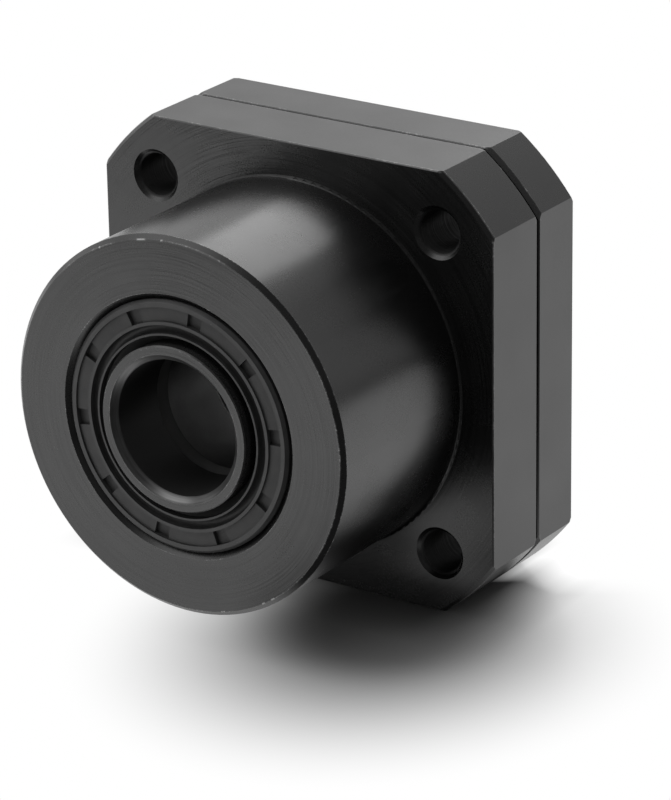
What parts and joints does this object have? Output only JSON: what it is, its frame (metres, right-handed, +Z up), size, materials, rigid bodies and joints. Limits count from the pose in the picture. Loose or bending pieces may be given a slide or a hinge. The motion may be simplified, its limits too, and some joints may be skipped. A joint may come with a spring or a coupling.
{
  "type": "ball screw end support",
  "caption": "Flange-mounted end support for a ball screw: round nose, square flange with rounded corners, lid, angular contact bearings, shaft collars and oil seals.",
  "frame": {"origin": "on the bore axis, in the flange's front face, which seats on the machine", "axes": "-Y out of the nose along the bore axis, +Z up with the flange's flats level and upright, +X to the right seen from the nose"},
  "size_m": [0.068, 0.053, 0.068],
  "materials": {
    "black_steel": "semi-gloss black oxide on turned and milled steel",
    "collar_steel": "ground steel, black oxide",
    "screw_steel": "black oxide",
    "bearing_steel": "fine ground bearing steel",
    "seal_rubber": "satin black nitrile rubber",
    "seal_steel": "pressed sheet steel",
    "spring_steel": "drawn spring wire",
    "cage_plastic": "moulded polyamide"
  },
  "bodies": {
    "support_body": {"housing": "black_steel", "lid": "black_steel", "lid_screws": "screw_steel", "front_seal_case": "seal_steel", "front_seal_rubber": "seal_rubber", "front_seal_spring": "spring_steel", "rear_seal_case": "seal_steel", "rear_seal_rubber": "seal_rubber", "rear_seal_spring": "spring_steel", "front_bearing_outer_ring": "bearing_steel", "rear_bearing_outer_ring": "bearing_steel"},
    "spindle": {"front_collar": "collar_steel", "front_bearing_inner_ring": "bearing_steel", "rear_bearing_inner_ring": "bearing_steel", "rear_collar": "collar_steel"},
    "front_cage": {"front_bearing_cage": "cage_plastic"},
    "rear_cage": {"rear_bearing_cage": "cage_plastic"},
    "front_ball_01": {"front_bearing_ball_01": "bearing_steel"},
    "front_ball_02": {"front_bearing_ball_02": "bearing_steel"},
    "front_ball_03": {"front_bearing_ball_03": "bearing_steel"},
    "front_ball_04": {"front_bearing_ball_04": "bearing_steel"},
    "front_ball_05": {"front_bearing_ball_05": "bearing_steel"},
    "front_ball_06": {"front_bearing_ball_06": "bearing_steel"},
    "front_ball_07": {"front_bearing_ball_07": "bearing_steel"},
    "front_ball_08": {"front_bearing_ball_08": "bearing_steel"},
    "front_ball_09": {"front_bearing_ball_09": "bearing_steel"},
    "front_ball_10": {"front_bearing_ball_10": "bearing_steel"},
    "front_ball_11": {"front_bearing_ball_11": "bearing_steel"},
    "rear_ball_01": {"rear_bearing_ball_01": "bearing_steel"},
    "rear_ball_02": {"rear_bearing_ball_02": "bearing_steel"},
    "rear_ball_03": {"rear_bearing_ball_03": "bearing_steel"},
    "rear_ball_04": {"rear_bearing_ball_04": "bearing_steel"},
    "rear_ball_05": {"rear_bearing_ball_05": "bearing_steel"},
    "rear_ball_06": {"rear_bearing_ball_06": "bearing_steel"},
    "rear_ball_07": {"rear_bearing_ball_07": "bearing_steel"},
    "rear_ball_08": {"rear_bearing_ball_08": "bearing_steel"},
    "rear_ball_09": {"rear_bearing_ball_09": "bearing_steel"},
    "rear_ball_10": {"rear_bearing_ball_10": "bearing_steel"},
    "rear_ball_11": {"rear_bearing_ball_11": "bearing_steel"}
  },
  "joints": [
    {"name": "spindle_spin", "type": "hinge", "parent": "support_body", "child": "spindle", "pos_m": [0, -0.006, 0], "axis": [0, 1, 0], "continuous": true},
    {"name": "front_cage_orbit", "type": "hinge", "parent": "support_body", "child": "front_cage", "pos_m": [0, -0.013, 0], "axis": [0, 1, 0], "continuous": true},
    {"name": "front_ball_01_spin", "type": "hinge", "parent": "front_cage", "child": "front_ball_01", "pos_m": [0.01675, -0.013, 0], "axis": [0.5, 0.866, 0], "continuous": true},
    {"name": "front_ball_02_spin", "type": "hinge", "parent": "front_cage", "child": "front_ball_02", "pos_m": [0.01409, -0.013, 0.00906], "axis": [0.4206, 0.866, 0.2703], "continuous": true},
    {"name": "front_ball_03_spin", "type": "hinge", "parent": "front_cage", "child": "front_ball_03", "pos_m": [0.00696, -0.013, 0.01524], "axis": [0.2077, 0.866, 0.4548], "continuous": true},
    {"name": "front_ball_04_spin", "type": "hinge", "parent": "front_cage", "child": "front_ball_04", "pos_m": [-0.00238, -0.013, 0.01658], "axis": [-0.0712, 0.866, 0.4949], "continuous": true},
    {"name": "front_ball_05_spin", "type": "hinge", "parent": "front_cage", "child": "front_ball_05", "pos_m": [-0.01097, -0.013, 0.01266], "axis": [-0.3274, 0.866, 0.3779], "continuous": true},
    {"name": "front_ball_06_spin", "type": "hinge", "parent": "front_cage", "child": "front_ball_06", "pos_m": [-0.01607, -0.013, 0.00472], "axis": [-0.4797, 0.866, 0.1409], "continuous": true},
    {"name": "front_ball_07_spin", "type": "hinge", "parent": "front_cage", "child": "front_ball_07", "pos_m": [-0.01607, -0.013, -0.00472], "axis": [-0.4797, 0.866, -0.1409], "continuous": true},
    {"name": "front_ball_08_spin", "type": "hinge", "parent": "front_cage", "child": "front_ball_08", "pos_m": [-0.01097, -0.013, -0.01266], "axis": [-0.3274, 0.866, -0.3779], "continuous": true},
    {"name": "front_ball_09_spin", "type": "hinge", "parent": "front_cage", "child": "front_ball_09", "pos_m": [-0.00238, -0.013, -0.01658], "axis": [-0.0712, 0.866, -0.4949], "continuous": true},
    {"name": "front_ball_10_spin", "type": "hinge", "parent": "front_cage", "child": "front_ball_10", "pos_m": [0.00696, -0.013, -0.01524], "axis": [0.2077, 0.866, -0.4548], "continuous": true},
    {"name": "front_ball_11_spin", "type": "hinge", "parent": "front_cage", "child": "front_ball_11", "pos_m": [0.01409, -0.013, -0.00906], "axis": [0.4206, 0.866, -0.2703], "continuous": true},
    {"name": "rear_cage_orbit", "type": "hinge", "parent": "support_body", "child": "rear_cage", "pos_m": [0, 0.001, 0], "axis": [0, 1, 0], "continuous": true},
    {"name": "rear_ball_01_spin", "type": "hinge", "parent": "rear_cage", "child": "rear_ball_01", "pos_m": [0.01675, 0.001, 0], "axis": [-0.5, 0.866, 0], "continuous": true},
    {"name": "rear_ball_02_spin", "type": "hinge", "parent": "rear_cage", "child": "rear_ball_02", "pos_m": [0.01409, 0.001, 0.00906], "axis": [-0.4206, 0.866, -0.2703], "continuous": true},
    {"name": "rear_ball_03_spin", "type": "hinge", "parent": "rear_cage", "child": "rear_ball_03", "pos_m": [0.00696, 0.001, 0.01524], "axis": [-0.2077, 0.866, -0.4548], "continuous": true},
    {"name": "rear_ball_04_spin", "type": "hinge", "parent": "rear_cage", "child": "rear_ball_04", "pos_m": [-0.00238, 0.001, 0.01658], "axis": [0.0712, 0.866, -0.4949], "continuous": true},
    {"name": "rear_ball_05_spin", "type": "hinge", "parent": "rear_cage", "child": "rear_ball_05", "pos_m": [-0.01097, 0.001, 0.01266], "axis": [0.3274, 0.866, -0.3779], "continuous": true},
    {"name": "rear_ball_06_spin", "type": "hinge", "parent": "rear_cage", "child": "rear_ball_06", "pos_m": [-0.01607, 0.001, 0.00472], "axis": [0.4797, 0.866, -0.1409], "continuous": true},
    {"name": "rear_ball_07_spin", "type": "hinge", "parent": "rear_cage", "child": "rear_ball_07", "pos_m": [-0.01607, 0.001, -0.00472], "axis": [0.4797, 0.866, 0.1409], "continuous": true},
    {"name": "rear_ball_08_spin", "type": "hinge", "parent": "rear_cage", "child": "rear_ball_08", "pos_m": [-0.01097, 0.001, -0.01266], "axis": [0.3274, 0.866, 0.3779], "continuous": true},
    {"name": "rear_ball_09_spin", "type": "hinge", "parent": "rear_cage", "child": "rear_ball_09", "pos_m": [-0.00238, 0.001, -0.01658], "axis": [0.0712, 0.866, 0.4949], "continuous": true},
    {"name": "rear_ball_10_spin", "type": "hinge", "parent": "rear_cage", "child": "rear_ball_10", "pos_m": [0.00696, 0.001, -0.01524], "axis": [-0.2077, 0.866, 0.4548], "continuous": true},
    {"name": "rear_ball_11_spin", "type": "hinge", "parent": "rear_cage", "child": "rear_ball_11", "pos_m": [0.01409, 0.001, -0.00906], "axis": [-0.4206, 0.866, 0.2703], "continuous": true}
  ],
  "couplings": [
    {"joint": "front_cage_orbit", "follows": "spindle_spin", "ratio": 0.39739},
    {"joint": "front_ball_01_spin", "follows": "spindle_spin", "ratio": -2.0212},
    {"joint": "front_ball_02_spin", "follows": "spindle_spin", "ratio": -2.0212},
    {"joint": "front_ball_03_spin", "follows": "spindle_spin", "ratio": -2.0212},
    {"joint": "front_ball_04_spin", "follows": "spindle_spin", "ratio": -2.0212},
    {"joint": "front_ball_05_spin", "follows": "spindle_spin", "ratio": -2.0212},
    {"joint": "front_ball_06_spin", "follows": "spindle_spin", "ratio": -2.0212},
    {"joint": "front_ball_07_spin", "follows": "spindle_spin", "ratio": -2.0212},
    {"joint": "front_ball_08_spin", "follows": "spindle_spin", "ratio": -2.0212},
    {"joint": "front_ball_09_spin", "follows": "spindle_spin", "ratio": -2.0212},
    {"joint": "front_ball_10_spin", "follows": "spindle_spin", "ratio": -2.0212},
    {"joint": "front_ball_11_spin", "follows": "spindle_spin", "ratio": -2.0212},
    {"joint": "rear_cage_orbit", "follows": "spindle_spin", "ratio": 0.39739},
    {"joint": "rear_ball_01_spin", "follows": "spindle_spin", "ratio": -2.0212},
    {"joint": "rear_ball_02_spin", "follows": "spindle_spin", "ratio": -2.0212},
    {"joint": "rear_ball_03_spin", "follows": "spindle_spin", "ratio": -2.0212},
    {"joint": "rear_ball_04_spin", "follows": "spindle_spin", "ratio": -2.0212},
    {"joint": "rear_ball_05_spin", "follows": "spindle_spin", "ratio": -2.0212},
    {"joint": "rear_ball_06_spin", "follows": "spindle_spin", "ratio": -2.0212},
    {"joint": "rear_ball_07_spin", "follows": "spindle_spin", "ratio": -2.0212},
    {"joint": "rear_ball_08_spin", "follows": "spindle_spin", "ratio": -2.0212},
    {"joint": "rear_ball_09_spin", "follows": "spindle_spin", "ratio": -2.0212},
    {"joint": "rear_ball_10_spin", "follows": "spindle_spin", "ratio": -2.0212},
    {"joint": "rear_ball_11_spin", "follows": "spindle_spin", "ratio": -2.0212}
  ]
}
